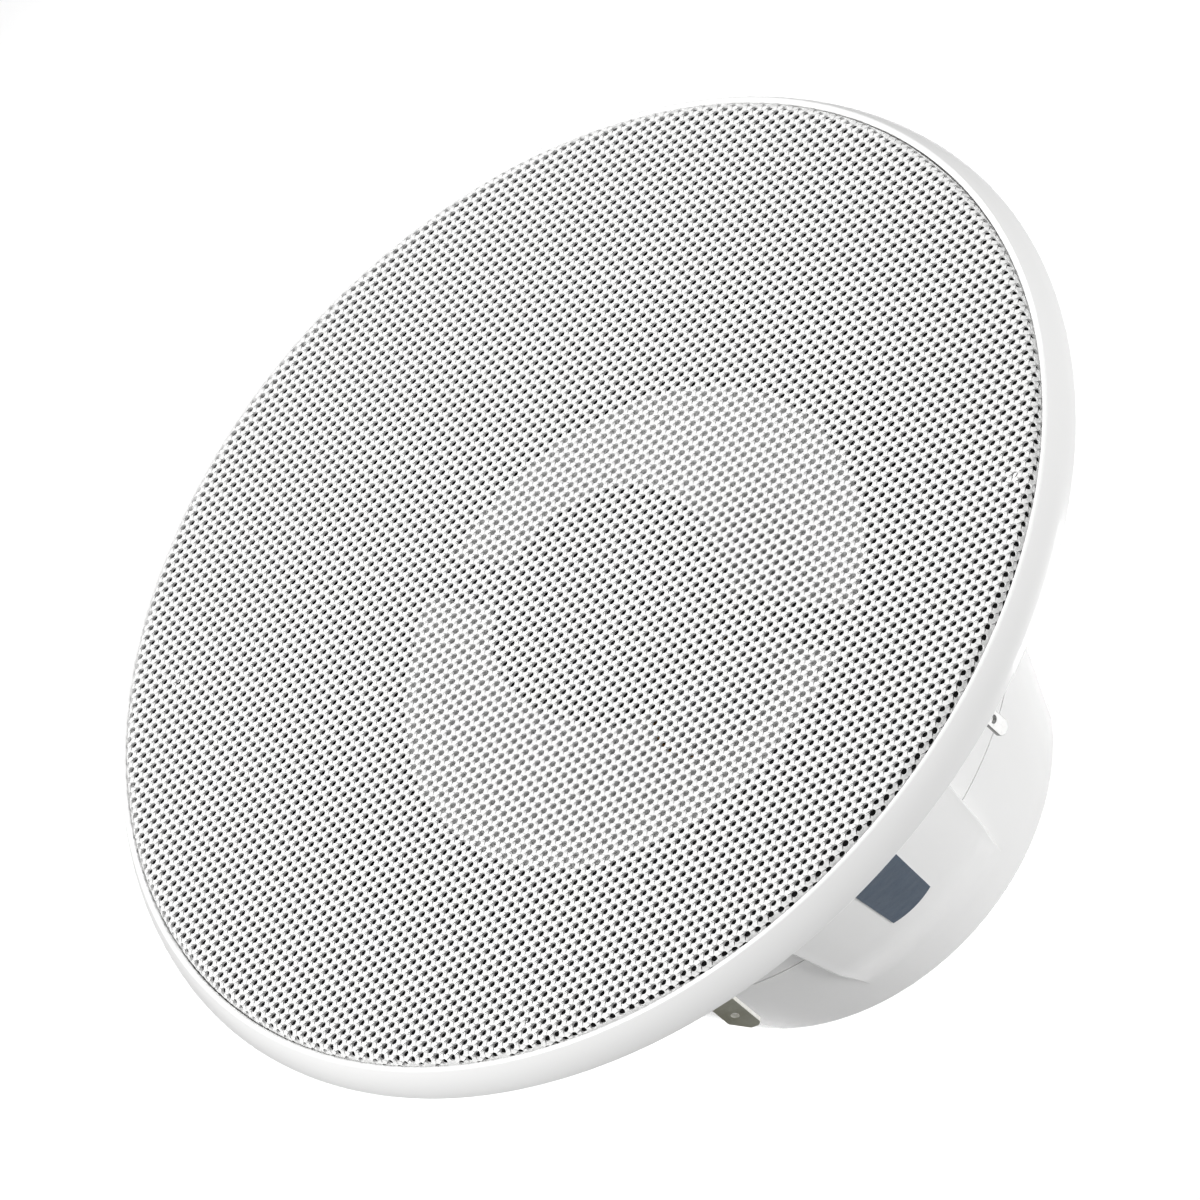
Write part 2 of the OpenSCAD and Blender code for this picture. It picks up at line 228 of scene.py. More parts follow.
def cone_film(name, base):
    """Moulded cone: faint rings, fine rays and a satin skin."""
    m = Mat(name, base, 0.42, specular=0.45)
    r, a = m.radius(), m.azimuth()
    ring = m.math("SINE", m.math("MULTIPLY", r, 1 / 0.0016 * math.tau))
    ray = m.math("SINE", m.math("ADD", m.math("MULTIPLY", a, 72), m.math("MULTIPLY", m.noise(260, 2), 5.0)))
    m.vary_color(ray, tint(base, 0.93), -0.2, 1.2)
    m.vary_color(m.noise(90, 4, seed=4), tint(base, 0.94), 0.4, 0.7)
    m.vary_rough(m.noise(500, 3, seed=6), 0.36, 0.52)
    m.bump(ring, 0.00001, 0.35)
    m.bump(ray, 0.000015, 0.4)
    return m.m


def windings(name, base, pitch=0.00022):
    m = Mat(name, base, 0.3, metallic=1.0)
    x, y, z = m.xyz()
    turn = m.math("ABSOLUTE", m.math("SINE", m.math("MULTIPLY", z, math.pi / pitch)))
    # darker towards the grooves between turns, where the bump is lowest: painted shade in the grooves
    m.vary_color(turn, tint(base, 0.35), 0.75, 0.05)
    m.vary_rough(m.noise(900, 2), 0.25, 0.42)
    m.bump(turn, 0.00008, 0.8)
    return m.m


def braid(name, base):
    m = Mat(name, base, 0.38, metallic=1.0)
    x, y, z = m.xyz()
    r = m.radius()
    s = m.math("SINE", m.math("MULTIPLY", m.math("ADD", r, m.math("MULTIPLY", z, 0.7)), 9000))
    # darker where the strands dip and the bump is lowest: painted shade between the strands
    m.vary_color(s, tint(base, 0.4), 0.6, -0.6)
    m.vary_rough(m.noise(1500, 2), 0.3, 0.5)
    m.bump(s, 0.00008, 0.9)
    return m.m


def label_film(name, base):
    """Blank vinyl label: fine mottle, light matt grain, faint handling marks."""
    m = Mat(name, base, 0.4, specular=0.35)
    m.vary_color(m.noise(160, 3, seed=2), tint(base, 1.12), 0.35, 0.7)
    m.vary_color(m.noise(2600, 2, seed=5), tint(base, 0.88), 0.5, 0.8)
    m.vary_rough(m.noise(1, 4, stretch=(300, 2200, 300), seed=3), 0.34, 0.5)
    m.bump(m.noise(2300, 3, seed=1), 0.00001, 0.6)
    return m.m


def speckle(name, base, light, rough=0.5, scale=1500):
    m = Mat(name, base, rough, specular=0.5)
    m.vary_color(m.noise(scale, 4, 0.7), light, 0.55, 0.75)
    m.vary_color(m.noise(70, 3, seed=8), tint(base, 0.7), 0.4, 0.7)
    m.vary_rough(m.noise(scale * 0.4, 3), rough - 0.1, rough + 0.15)
    m.bump(m.noise(scale * 0.7, 3, seed=1), 0.00002, 0.5)
    return m.m


GRILLE = powder_coat("grille_powder_coat", (0.88, 0.88, 0.875))
BEZEL = gloss_white("bezel_gloss_white", (0.95, 0.95, 0.945), 0.30)
SHELL = gloss_white("shell_gloss_white", (0.92, 0.92, 0.915), 0.13, 10, 0.8, 0.03)
COVER = gloss_white("cover_gloss_white", (0.92, 0.92, 0.915), 0.13, 20, 0.8, 0.03)
WIRING = gloss_white("wiring_cover_gloss_white", (0.92, 0.92, 0.915), 0.13, 30, 0.8, 0.03)
BLOCK = gloss_white("terminal_block_white", (0.88, 0.88, 0.87), 0.3, 40)
LOOKS = {
    "bezel_ring": BEZEL,
    "grille_mesh": GRILLE,
    "flange_gasket": foam("gasket_foam", (0.022, 0.022, 0.024)),
    "basket": black_plastic("basket_black", (0.007, 0.007, 0.0075), 0.55),
    "body_shell": SHELL,
    "rear_cover": COVER,
    "cover_seal": rubber("seal_rubber", (0.34, 0.34, 0.335)),
    "cover_screws": steel("screw_stainless", (0.55, 0.56, 0.57), 0.28, True),
    "wiring_cover": WIRING,
    "blank_label": label_film("label_blue_grey", (0.058, 0.087, 0.127)),
    "terminal_block": BLOCK,
    # Both tabs are one tinned metal: the positive face is coloured dark olive as painted shade, the negative
    # face near white as painted light.
    "terminal_positive": steel("tab_tinned", (0.50, 0.50, 0.42), 0.34, tarnish=(0.37, 0.36, 0.28)),
    "terminal_negative": steel("tab_tinned_light", (0.95, 0.95, 0.94), 0.36, tarnish=(0.90, 0.90, 0.88), seed=4, metallic=0.15),
    "lead_wires": braid("lead_copper_braid", (0.55, 0.27, 0.14)),
    "woofer_cone": cone_film("cone_white_film", (0.82, 0.82, 0.81)),
    "surround": rubber("surround_rubber", (0.008, 0.008, 0.0085), 1600),
    "spider": cloth("spider_cloth", (0.55, 0.38, 0.12)),
    "voice_coil_former": cloth("former_film", (0.33, 0.16, 0.035), 2400, 0.00001),
    "voice_coil": windings("coil_enamelled_wire", (0.45, 0.14, 0.06)),
    "dust_cap": cone_film("dust_cap_film", (0.20, 0.20, 0.21)),
    "top_plate": steel("plate_zinc_top", (0.48, 0.49, 0.50), 0.36, True, seed=2),
    "ring_magnet": speckle("ring_magnet_ferrite", (0.030, 0.030, 0.034), (0.09, 0.09, 0.10), 0.42),
    "back_plate_and_pole": steel("plate_zinc_back", (0.48, 0.49, 0.50), 0.36, True, seed=6),
    "tweeter_bridge": black_plastic("bridge_black", (0.005, 0.005, 0.0055), 0.55, 3),
    "tweeter_housing": black_plastic("tweeter_housing_black", (0.005, 0.005, 0.0055), 0.55, 6),
    "tweeter_faceplate": black_plastic("faceplate_black", (0.005, 0.005, 0.0055), 0.5, 9),
    "tweeter_dome": cloth("dome_cloth", (0.012, 0.012, 0.014), 2600, 0.00003),
    "tweeter_magnet": steel("tweeter_magnet_nickel", (0.30, 0.31, 0.33), 0.25, True, seed=9),
    "tweeter_capacitor": speckle("capacitor_sleeve", (0.022, 0.035, 0.110), (0.05, 0.07, 0.16), 0.35, 900),
}
for name, material in LOOKS.items():
    o = NODE[name]
    o.data.materials.clear()
    o.data.materials.append(material)


# ---------------------------------------------------------------- geometry helpers
def make(name, verts, faces, material, smooth=True):
    me = bpy.data.meshes.new(name)
    me.from_pydata([tuple(v) for v in verts], [], faces)
    me.update(calc_edges=True)
    if smooth:
        me.polygons.foreach_set("use_smooth", np.ones(len(me.polygons), bool))
    me.materials.append(material)
    o = bpy.data.objects.new(name, me)
    bpy.context.scene.collection.objects.link(o)
    return o


def outward(o):
    bm = bmesh.new()
    bm.from_mesh(o.data)
    bmesh.ops.recalc_face_normals(bm, faces=bm.faces)
    bm.to_mesh(o.data)
    bm.free()


def sharpen(me, angle):
    me.set_sharp_from_angle(angle=math.radians(angle))


def lathe(name, profile, material, steps=360, sharp=35):
    """A closed section (r, z) in mm turned round Z."""
    n = len(profile)
    p = np.array(profile, float) * MM
    a = np.arange(steps) * math.tau / steps
    v = np.empty((steps, n, 3))
    v[:, :, 0] = np.cos(a)[:, None] * p[None, :, 0]
    v[:, :, 1] = np.sin(a)[:, None] * p[None, :, 0]
    v[:, :, 2] = p[None, :, 1]
    i, j = np.meshgrid(np.arange(steps), np.arange(n), indexing="ij")
    i2, j2 = (i + 1) % steps, (j + 1) % n
    f = np.stack([i * n + j, i2 * n + j, i2 * n + j2, i * n + j2], -1).reshape(-1, 4)
    o = make(name, v.reshape(-1, 3), f.tolist(), material)
    area = sum(p[k, 0] * p[(k + 1) % n, 1] - p[(k + 1) % n, 0] * p[k, 1] for k in range(n))
    if area < 0:
        o.data.flip_normals()
    sharpen(o.data, sharp)
    return o


def arc(cx, cz, r, a0, a1, n):
    return [(cx + r * math.cos(math.radians(a0 + (a1 - a0) * k / n)),
             cz + r * math.sin(math.radians(a0 + (a1 - a0) * k / n))) for k in range(n + 1)]


# ---------------------------------------------------------------- grille
# The CAD sheet, with its round perforation: one hexagonal field of holes that
# runs on over the rolled rim.
PITCH, HOLE_R, SHEET_T = 1.75, 0.54, 0.42
MESH_R, BEND, LEDGE_Z, TOP, DROP = 84.7, 1.55, 3.51, 7.5, 1.55
RD = MESH_R - BEND
EDGE_Z = TOP - DROP
FLAT_END = RD + BEND * math.pi / 2 + (EDGE_Z - BEND - LEDGE_Z)
SIDES = 12


def sheet_point(q):
    """Outer surface point and normal for flat points q (n, 2), in mm."""
    rho = np.maximum(np.hypot(q[:, 0], q[:, 1]), 1e-9)
    e = q / rho[:, None]
    u = np.minimum(rho, RD) / RD
    z = TOP - DROP * (0.866 * u**2 + 0.134 * u**4)
    slope = -DROP * (0.866 * 2 * u + 0.134 * 4 * u**3) / RD
    r = np.minimum(rho, RD)
    nr, nz = -slope, np.ones_like(slope)
    length = np.hypot(nr, nz)
    nr, nz = nr / length, nz / length
    a = np.clip(math.pi / 2 - (rho - RD) / BEND, 0, math.pi / 2)
    past = rho > RD
    down = np.maximum(rho - RD - BEND * math.pi / 2, 0)
    r = np.where(past, RD + BEND * np.cos(a), r)
    z = np.where(past, EDGE_Z - BEND + BEND * np.sin(a) - down, z)
    nr, nz = np.where(past, np.cos(a), nr), np.where(past, np.sin(a), nz)
    p = np.column_stack([e * r[:, None], z])
    n = np.column_stack([e * nr[:, None], nz])
    return p, n


def build_grille():
    span = range(-60, 61)
    holes = {}
    for j in range(-62, 63):
        for i in range(-92, 93):
            xl, yl = i - 0.5 * j - 3.549, 0.8660254 * j - 0.257
            x, y = yl * PITCH, xl * PITCH
            if math.hypot(x, y) < FLAT_END - HOLE_R - 0.16:
                holes[(i, j)] = (x, y)
    keys = sorted(holes)
    index = {k: n for n, k in enumerate(keys)}
    centre = np.array([holes[k] for k in keys])
    # lattice neighbour directions in the part's plane, 60 degrees apart
    near = [(0, 1), (1, 1), (1, 0), (0, -1), (-1, -1), (-1, 0)]

    def plane(di, dj):
        return 0.8660254 * dj, di - 0.5 * dj

    ang = sorted(((math.atan2(plane(*d)[1], plane(*d)[0]), d) for d in near))
    dirs = [d for _, d in ang]
    base = ang[0][0]
    # corner k of a hole stands at base - 15 + 30 k degrees, so corners 2m and 2m+1 face neighbour m
    corner = base + np.radians(-15 + 30 * np.arange(SIDES))
    ring = HOLE_R * np.column_stack([np.cos(corner), np.sin(corner)])
    flat = (centre[:, None, :] + ring[None]).reshape(-1, 2)

    def vid(h, k):
        return h * SIDES + k % SIDES

    quads, quad_hole, gaps, gap_hole = [], [], [], []
    side_count = {}
    attached = set()

    def mark(a, b):
        key = (a, b) if a < b else (b, a)
        side_count[key] = side_count.get(key, 0) + 1

    for k, h in index.items():
        for m in range(6):
            d = dirs[m]
            other = index.get((k[0] + d[0], k[1] + d[1]))
            if other is None:
                continue
            if m < 3:  # each pair once
                q = [vid(h, 2 * m), vid(other, 2 * (m + 3) + 1), vid(other, 2 * (m + 3)), vid(h, 2 * m + 1)]
                quads.append(q)
                quad_hole.append(h)
                mark(q[0], q[1])
                mark(q[2], q[3])
            attached.add((h, 2 * m))
            d2 = dirs[(m + 1) % 6]
            third = index.get((k[0] + d2[0], k[1] + d2[1]))
            if third is None:
                continue
            attached.add((h, 2 * m + 1))
            if m < 2:  # each triangle once, from its two lowest directions
                g = [vid(h, 2 * m + 1), vid(other, 2 * (m + 3)), vid(other, 2 * (m + 3) - 1),
                     vid(third, 2 * (m + 4) + 1), vid(third, 2 * (m + 4)), vid(h, 2 * m + 2)]
                gaps.append(g)
                gap_hole.append(h)
                mark(g[0], g[1])
                mark(g[2], g[3])
                mark(g[4], g[5])
    return index, centre, flat, quads, quad_hole, gaps, gap_hole, side_count, attached


index, centre, flat, quads, quad_hole, gaps, gap_hole, side_count, attached = build_grille()
n_holes = len(centre)


def margin_faces():
    """Fills between the outermost holes and the sheet's edge."""
    loop = []
    for h in range(n_holes):
        for k in range(SIDES):
            if (h, k) not in attached:
                loop.append((h * SIDES + k, h * SIDES + (k + 1) % SIDES))
    loop += [key for key, c in side_count.items() if c == 1]
    used = sorted({v for e in loop for v in e})
    local = {v: n for n, v in enumerate(used)}
    n_edge = 640
    a = np.arange(n_edge) * math.tau / n_edge
    edge = FLAT_END * np.column_stack([np.cos(a), np.sin(a)])
    mid_r = FLAT_END - 0.14
    pts = [Vector(flat[v]) for v in used] + [Vector(q) for q in edge]
    n0 = len(used)
    fence = [(local[a_], local[b_]) for a_, b_ in loop]
    rim = [(n0 + k, n0 + (k + 1) % n_edge) for k in range(n_edge)]
    out = delaunay_2d_cdt(pts, fence + rim, [], 0, 1e-7)
    verts, tris, orig = out[0], out[2], out[3]
    back = [o[0] if o else None for o in orig]
    walls = {frozenset(e) for e in fence + rim}
    owner = {}
    for t, tri in enumerate(tris):
        for x in range(3):
            owner.setdefault(frozenset((back[tri[x]], back[tri[(x + 1) % 3]])), []).append(t)
    start = []
    for e in rim:
        start += owner.get(frozenset(e), [])
    inside, stack = set(start), list(start)
    while stack:
        tri = tris[stack.pop()]
        for x in range(3):
            e = frozenset((back[tri[x]], back[tri[(x + 1) % 3]]))
            if e in walls:
                continue
            for t in owner[e]:
                if t not in inside:
                    inside.add(t)
                    stack.append(t)
    faces = []
    for t in sorted(inside):
        faces.append([used[back[v]] if back[v] < n0 else n_holes * SIDES + back[v] - n0 for v in tris[t]])
    return faces, edge


margin, edge_pts = margin_faces()
n_edge = len(edge_pts)
flat_all = np.vstack([flat, edge_pts])
top, normal = sheet_point(flat_all)
bottom = top - SHEET_T * normal
N_ALL = len(flat_all)
co_all = np.vstack([top, bottom]) * MM


def ccw(face):
    q = flat_all[face]
    x, y = q[:, 0], q[:, 1]
    return float(np.dot(x, np.roll(y, -1)) - np.dot(y, np.roll(x, -1))) > 0


top_faces = quads + gaps + margin
top_owner = quad_hole + gap_hole + [None] * len(margin)
top_faces = [f if ccw(f) else f[::-1] for f in top_faces]
rho_hole = np.hypot(centre[:, 0], centre[:, 1])
bands = [0.0, np.quantile(rho_hole, 0.335), np.quantile(rho_hole, 0.665), 1e9]
piece_faces = [[], [], []]


def band_of(h):
    r = rho_hole[h]
    return 0 if r < bands[1] else 1 if r < bands[2] else 2


for f, h in zip(top_faces, top_owner):
    b = 2 if h is None else band_of(h)
    piece_faces[b].append(f)
    piece_faces[b].append([v + N_ALL for v in f[::-1]])
for h in range(n_holes):
    b = band_of(h)
    for k in range(SIDES):
        a, c = h * SIDES + k, h * SIDES + (k + 1) % SIDES
        piece_faces[b].append([a, c, c + N_ALL, a + N_ALL])
for k in range(n_edge):
    a, c = n_holes * SIDES + k, n_holes * SIDES + (k + 1) % n_edge
    piece_faces[2].append([c, a, a + N_ALL, c + N_ALL])

for b, label in enumerate(("grille_sheet_centre", "grille_sheet_middle", "grille_sheet_rim")):
    used = sorted({v for f in piece_faces[b] for v in f})
    local = np.full(2 * N_ALL, -1)
    local[used] = np.arange(len(used))
    faces = [[int(local[v]) for v in f] for f in piece_faces[b]]
    o = make(label, co_all[used], faces, GRILLE)
    me = o.data
    # hole edges and the cut edge stay crisp; the sheet and the hole walls are smooth
    ev = np.empty(len(me.edges) * 2, np.int64)
    me.edges.foreach_get("vertices", ev)
    ev = np.array(used)[ev.reshape(-1, 2)]
    layer = ev // N_ALL
    w = ev % N_ALL
    on_hole = (w < n_holes * SIDES).all(1)
    same = (w[:, 0] // SIDES == w[:, 1] // SIDES) & on_hole
    step = np.abs(w[:, 0] % SIDES - w[:, 1] % SIDES)
    crisp = (layer[:, 0] == layer[:, 1]) & ((same & ((step == 1) | (step == SIDES - 1))) | (~on_hole & (w >= n_holes * SIDES).all(1)))
    attr = me.attributes.get("sharp_edge") or me.attributes.new("sharp_edge", "BOOLEAN", "EDGE")
    attr.data.foreach_set("value", crisp)
    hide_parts("grille_mesh")
    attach(o, "root")

# ---------------------------------------------------------------- bezel
R = 88.0
crest = arc(85.42, 4.52, 0.62, 28, 150, 14)
face_out = [(87.93, 0.62), (87.86, 0.95)]
# gently crowned face from the outer edge up to the crest
x0, z0, x1, z1 = 87.86, 0.95, crest[0][0], crest[0][1]
L = math.hypot(x1 - x0, z1 - z0)
nx, nz = (z1 - z0) / L, -(x1 - x0) / L
face = [(x0 + (x1 - x0) * t + nx * 0.20 * 4 * t * (1 - t), z0 + (z1 - z0) * t + nz * 0.20 * 4 * t * (1 - t))
        for t in [k / 14 for k in range(1, 14)]]
bezel_section = ([(84.5, 0.0), (87.7, 0.0)] + arc(87.7, 0.3, 0.3, -75, 20, 6) + face_out + face + crest
                 + [(84.88, 4.6), (84.88, 3.51), (84.5, 3.51)])
bezel = lathe("bezel_trim_ring", bezel_section, BEZEL, 540, 40)
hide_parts("bezel_ring")
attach(bezel, "root")

# ---------------------------------------------------------------- wiring cover and label
SEAM_R, SEAM_Z, BACK_R, BACK_Z, SHELL_R = 50.1, -44.1, 39.3, -75.6, 63.5
M1 = (SHELL_R - SEAM_R) / 45.1
M2 = (SEAM_R - BACK_R) / (SEAM_Z - BACK_Z)
PANEL_A, SHIFT = math.radians(-93.75), 11.5


def body_radius(z):
    return SEAM_R + (z - SEAM_Z) * (M1 if z > SEAM_Z else M2)


def panel_radius(z):
    """Radius of the raised field about its own shifted axis."""
    return SEAM_R + 12.59 + (z - SEAM_Z) * 0.33


def fade(z):
    """Share of the field's height left at z, where it runs out into the cover."""
    q = max(0.0, min(1.0, (-51.5 - z) / 14.2))
    return 1 - 0.975 * q * q * (3 - 2 * q)


def panel_point(t, z, lift=0.0):
    """Point of the raised field at angle t (degrees) about its shifted axis: angle about the centre line, and radius."""
    r = panel_radius(z) + lift
    x, y = -SHIFT + r * math.cos(math.radians(t)), r * math.sin(math.radians(t))
    base = body_radius(z)
    return math.atan2(y, x), base + (math.hypot(x, y) - base) * fade(z)


def tube(name, sections, material):
    """Closes a row of equal closed loops into a solid with flat ends."""
    n = len(sections[0])
    verts = [v for sec in sections for v in sec]
    faces = []
    for i in range(len(sections) - 1):
        for j in range(n):
            faces.append([i * n + j, i * n + (j + 1) % n, (i + 1) * n + (j + 1) % n, (i + 1) * n + j])
    faces.append(list(range(n))[::-1])
    faces.append([(len(sections) - 1) * n + j for j in range(n)])
    o = make(name, verts, faces, material)
    outward(o)
    return o


def polar(r, a, z):
    return (r * math.cos(a + PANEL_A) * MM, r * math.sin(a + PANEL_A) * MM, z * MM)


def wiring_section(z, t_half, sink=0.0):
    """Foot on the body, short wall, rounded edge and the broad slightly bowed top."""
    a_end, r_end = panel_point(t_half, z)
    base = body_radius(z)
    h = r_end - base - sink
    rho = min(0.5, 0.45 * h)
    side = []
    for k in range(7):
        q = math.radians(90 * k / 6)
        side.append((a_end - rho * (1 - math.cos(q)) / base,
                     r_end - sink - rho + rho * math.sin(q)))
    ring = [(a_end + 0.16 / base, base + 0.005), (a_end + 0.03 / base, base + min(0.12, 0.3 * h)), (a_end, base + 0.35 * h)]
    ring += side
    inner = t_half - math.degrees(rho / panel_radius(z)) - 0.15
    top = []
    for k in range(25):
        a, r = panel_point(inner * (1 - 2 * k / 24), z)
        top.append((a, r - sink))
    mirror = [(-a, r) for a, r in ring[::-1]]
    under = [(a_end * (-1 + 2 * k / 12), base - 0.02) for k in range(1, 12)]
    return [polar(r, a, z) for a, r in ring + top + mirror + under]


stations = [-30.5, -30.62, -30.85, -31.3] + [-32 - 0.7 * k for k in range(49)]
rows = []
for z in stations:
    front = max(0.0, z + 31.0)
    rows.append(wiring_section(z, 15.98, 0.5 * front ** 2))
wiring = tube("wiring_cover_field", rows, WIRING)
sharpen(wiring.data, 50)
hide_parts("wiring_cover")
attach(wiring, "root")

LABEL_EDGE = Mat("label_edge", (0.62, 0.64, 0.66), 0.5, specular=0.4)
LABEL_EDGE.vary_color(LABEL_EDGE.noise(900, 3), (0.52, 0.54, 0.57))
LABEL_EDGE.vary_rough(LABEL_EDGE.noise(1200, 2), 0.42, 0.6)


def label_piece():
    """Film with a square front, straight sides, a bowed rear edge and a bevel all round."""
    n_u, n_v = 24, 30
    shift = math.radians(0.2)
    rings = []

    def spot(u, v, inset, lift):
        # u from -1 to 1 across, v from 0 (front) to 1 (rear edge)
        half = 4.05 - 0.2 * v
        mid = -0.2 * v
        t = mid + u * (half - inset / 60 * 57.3)
        y = math.radians(t) * 60
        rear = -41.8 - math.sqrt(9.38 ** 2 - y * y) + inset
        z = -32.5 - inset + (rear - (-32.5 - inset)) * v
        a, r = panel_point(t, z, lift)
        return (r * math.cos(a + PANEL_A + shift) * MM, r * math.sin(a + PANEL_A + shift) * MM, z * MM)

    verts, faces = [], []

    def grid(inset, lift):
        start = len(verts)
        for i in range(n_u + 1):
            for j in range(n_v + 1):
                verts.append(spot(-1 + 2 * i / n_u, j / n_v, inset, lift))
        return start

    def at(start, i, j):
        return start + i * (n_v + 1) + j

    top0 = grid(0.07, 0.245)
    bot0 = grid(0.0, 0.01)
    for i in range(n_u):
        for j in range(n_v):
            faces.append([at(top0, i, j), at(top0, i + 1, j), at(top0, i + 1, j + 1), at(top0, i, j + 1)])
            faces.append([at(bot0, i, j + 1), at(bot0, i + 1, j + 1), at(bot0, i + 1, j), at(bot0, i, j)])
    border = ([(i, 0) for i in range(n_u)] + [(n_u, j) for j in range(n_v)]
              + [(i, n_v) for i in range(n_u, 0, -1)] + [(0, j) for j in range(n_v, 0, -1)])
    mid = len(verts)
    for i, j in border:
        verts.append(spot(-1 + 2 * i / n_u, j / n_v, 0.0, 0.175))
    m = len(border)
    first_side = len(faces)
    for k in range(m):
        i, j = border[k]
        i2, j2 = border[(k + 1) % m]
        k2 = (k + 1) % m
        faces.append([at(top0, i, j), mid + k, mid + k2, at(top0, i2, j2)][::-1])
        faces.append([mid + k, at(bot0, i, j), at(bot0, i2, j2), mid + k2][::-1])
    o = make("label_blank_film", verts, faces, LOOKS["blank_label"])
    me = o.data
    me.materials.append(LABEL_EDGE.m)
    for p in list(me.polygons)[first_side:]:
        p.material_index = 1
    outward(o)
    sharpen(me, 30)
    return o


label = label_piece()
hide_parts("blank_label")
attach(label, "root")

# ---------------------------------------------------------------- blade tabs
def offset(loop, d):
    """Loop moved inwards by d; the loop runs anticlockwise."""
    out = []
    n = len(loop)
    for i in range(n):
        p0, p1, p2 = (np.array(loop[k % n], float) for k in (i - 1, i, i + 1))
        e1, e2 = p1 - p0, p2 - p1
        n1 = np.array((-e1[1], e1[0])) / np.hypot(*e1)
        n2 = np.array((-e2[1], e2[0])) / np.hypot(*e2)
        m = n1 + n2
        out.append(p1 + m * d / max(0.3, float(m @ n1)))
    return [tuple(q) for q in out]


def rounded(loop, radii, steps=5):
    """Corners with a radius become short arcs."""
    out = []
    n = len(loop)
    for i, r in enumerate(radii):
        p0, p1, p2 = (np.array(loop[k % n], float) for k in (i - 1, i, i + 1))
        if r <= 0:
            out.append(tuple(p1))
            continue
        a, b = (p0 - p1) / np.hypot(*(p0 - p1)), (p2 - p1) / np.hypot(*(p2 - p1))
        start, end = p1 + a * r, p1 + b * r
        for k in range(steps + 1):
            t = k / steps
            out.append(tuple((1 - t) ** 2 * start + 2 * t * (1 - t) * p1 + t ** 2 * end))
    return out


def inside(q, loop):
    hit = False
    for (x0, y0), (x1, y1) in zip(loop, loop[1:] + loop[:1]):
        if (y0 > q[1]) != (y1 > q[1]) and q[0] < x0 + (q[1] - y0) * (x1 - x0) / (y1 - y0):
            hit = not hit
    return hit


def blade(name, azimuth, width, tip, hole_z, cut, face, edge):
    """Stamped tab with bevelled cut edges and a chamfered hole."""
    t, bev, hr = 0.8, 0.09, 0.65
    w = width / 2
    corners = [(-w, -25.8), (-w, tip + cut), (-w + 0.89 * cut, tip), (w - 0.8, tip), (w, tip + 0.9), (w, -25.8),
               (0.8, -25.8), (0.8, -24.7), (-0.8, -24.7), (-0.8, -25.8)]
    loop = rounded(corners, [0, 0.35, 0.3, 0.3, 0.3, 0, 0, 0, 0, 0])
    small = offset(loop, bev)
    nh = 40
    ring = [(math.cos(math.tau * k / nh), math.sin(math.tau * k / nh)) for k in range(nh)]
    verts, faces, kind = [], [], []

    def put(loop2, depth):
        start = len(verts)
        ca, sa = math.cos(math.radians(azimuth)), math.sin(math.radians(azimuth))
        for u, z in loop2:
            r = 56.0 + depth
            verts.append(((r * ca - u * sa) * MM, (r * sa + u * ca) * MM, z * MM))
        return start

    n = len(loop)
    outer = [put(small, t / 2), put(loop, t / 2 - bev), put(loop, -t / 2 + bev), put(small, -t / 2)]
    holes = [(hr + 0.07, t / 2), (hr, t / 2 - 0.07), (hr, -t / 2 + 0.07), (hr + 0.07, -t / 2)]
    inner = [put([(q * x, hole_z + q * y) for x, y in ring], d) for q, d in holes]
    for a, b in zip(outer, outer[1:]):
        for k in range(n):
            faces.append([a + k, a + (k + 1) % n, b + (k + 1) % n, b + k])
            kind.append(1)
    for a, b in zip(inner, inner[1:]):
        for k in range(nh):
            faces.append([a + k, b + k, b + (k + 1) % nh, a + (k + 1) % nh])
            kind.append(1)
    hole_loop = [((hr + 0.07) * x, hole_z + (hr + 0.07) * y) for x, y in ring]
    pts = [Vector(q) for q in small + hole_loop]
    fence = [(k, (k + 1) % n) for k in range(n)] + [(n + k, n + (k + 1) % nh) for k in range(nh)]
    out = delaunay_2d_cdt(pts, fence, [], 0, 1e-6)
    back = [q[0] for q in out[3]]
    for tri in out[2]:
        c = sum((out[0][v] for v in tri), Vector((0, 0))) / 3
        if inside(c, small) and math.hypot(c[0], c[1] - hole_z) > (hr + 0.07) * 0.99:
            ids = [back[v] for v in tri]
            for o_, i_ in ((outer[0], inner[0]), (outer[3], inner[3])):
                faces.append([o_ + v if v < n else i_ + v - n for v in ids])
                kind.append(0)
    o = make(name, verts, faces, face)
    o.data.materials.append(edge)
    o.data.polygons.foreach_set("material_index", kind)
    outward(o)
    sharpen(o.data, 25)
    return o


# The positive tab's cut edges are coloured near white as painted light, the negative tab's cut edges dark grey
# as painted shade.
TAB_EDGE_PAINTED_LIGHT = steel("tab_rim_painted_light", (0.95, 0.94, 0.89), 0.30, tarnish=(0.90, 0.88, 0.80), seed=12, metallic=0.1)
TAB_EDGE_PAINTED_SHADE = steel("tab_rim_painted_shade", (0.40, 0.40, 0.40), 0.36, tarnish=(0.30, 0.30, 0.29), seed=14)
positive = blade("tab_positive_blade", -127.3, 4.75, -46.2, -41.7, 2.8, LOOKS["terminal_positive"], TAB_EDGE_PAINTED_LIGHT)
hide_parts("terminal_positive")
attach(positive, "root")
negative = blade("tab_negative_blade", -61.9, 2.8, -39.6, -35.7, 0.9, LOOKS["terminal_negative"], TAB_EDGE_PAINTED_SHADE)
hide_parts("terminal_negative")
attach(negative, "root")

# ---------------------------------------------------------------- stage, lights, camera
FLOOR_Z = -0.60
floor_mat = Mat("floor_pale", (0.93, 0.93, 0.93), 0.9, specular=0.1)
floor_mat.vary_color(floor_mat.noise(3, 2), (0.92, 0.92, 0.92))
floor = make("floor", [(-4, -4, FLOOR_Z), (4, -4, FLOOR_Z), (4, 4, FLOOR_Z), (-4, 4, FLOOR_Z)], [[0, 1, 2, 3]], floor_mat.m, False)

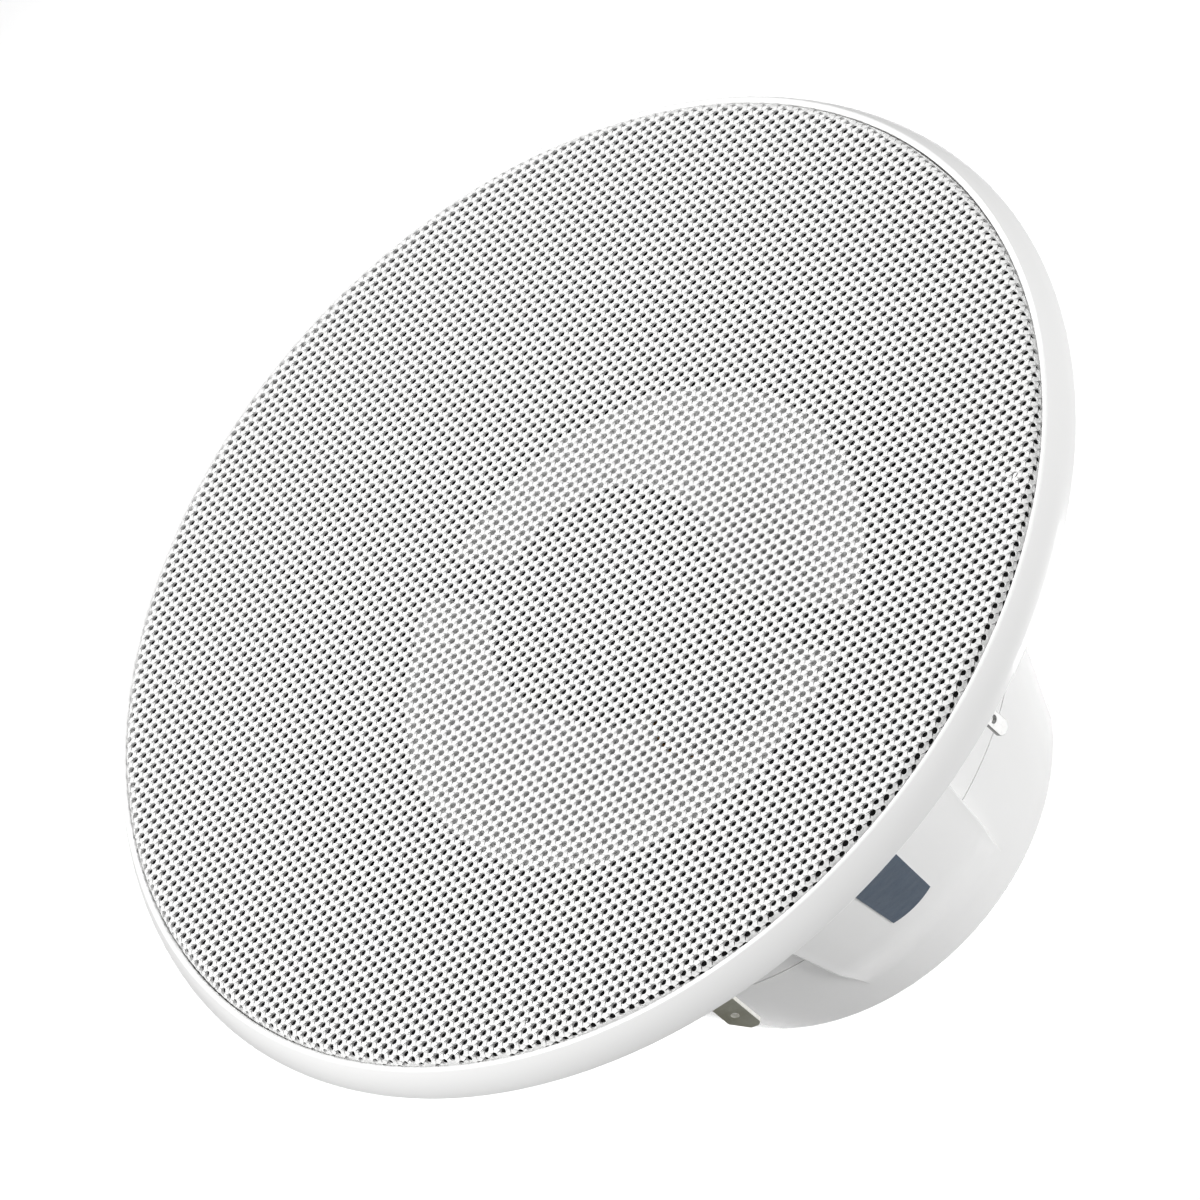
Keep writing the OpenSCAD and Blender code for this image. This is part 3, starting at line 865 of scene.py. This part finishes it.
scene = bpy.context.scene
world = bpy.data.worlds.new("studio")
scene.world = world
world.use_nodes = True
world.node_tree.nodes["Background"].inputs[0].default_value = (1, 1, 1, 1)
world.node_tree.nodes["Background"].inputs[1].default_value = 0.22

RIGHT = Vector((0.66519, -0.50472, -0.55025))
UP = Vector((0.74654, 0.46347, 0.47736))
BACK = Vector((0.01409, -0.72832, 0.68509))


def softbox(name, at, size, power, size_y=None, aim=(0, 0, -0.01), spread=180):
    """An area light at a point of the part's frame, aimed at the speaker."""
    data = bpy.data.lights.new(name, "AREA")
    data.shape = "RECTANGLE" if size_y else "SQUARE"
    data.size = size
    if size_y:
        data.size_y = size_y
    data.energy = power
    data.spread = math.radians(spread)
    o = bpy.data.objects.new(name, data)
    scene.collection.objects.link(o)
    o.location = at
    o.rotation_mode = "QUATERNION"
    o.rotation_quaternion = (Vector(aim) - Vector(at)).to_track_quat("-Z", "Y")
    return o


def around(az, el, d=1.2):
    a, e = math.radians(az), math.radians(el)
    return (d * math.cos(a) * math.cos(e), d * math.sin(a) * math.cos(e), d * math.sin(e))


softbox("key_left", around(180, 60), 0.7, 2.12, spread=56)
softbox("fill_front", around(-70, 30), 0.7, 0.08, spread=60)
softbox("low_right", around(-38, -25, 1.1), 0.5, 2.1, 0.4, spread=90)
softbox("low_front", around(-70, -20, 1.1), 0.5, 0.12, spread=80)
softbox("side_right", around(30, 25), 0.6, 1.1, spread=70)
softbox("backdrop", (-0.01, 0.84, 0.2), 0.6, 1.75, aim=(-0.01, 0.72, -0.6), spread=62)

cam = bpy.data.cameras.new("camera")
cam.sensor_width = 36
cam.lens = 243.27
cam.clip_start, cam.clip_end = 0.05, 20
cam_o = bpy.data.objects.new("camera", cam)
scene.collection.objects.link(cam_o)
cam_o.matrix_world = Matrix((
    (RIGHT.x, UP.x, BACK.x, 0.017545),
    (RIGHT.y, UP.y, BACK.y, -0.918000),
    (RIGHT.z, UP.z, BACK.z, 0.859750),
    (0, 0, 0, 1)))
scene.camera = cam_o

scene.view_settings.view_transform = "Standard"
scene.view_settings.look = "None"
scene.view_settings.exposure = 0
scene.view_settings.gamma = 1
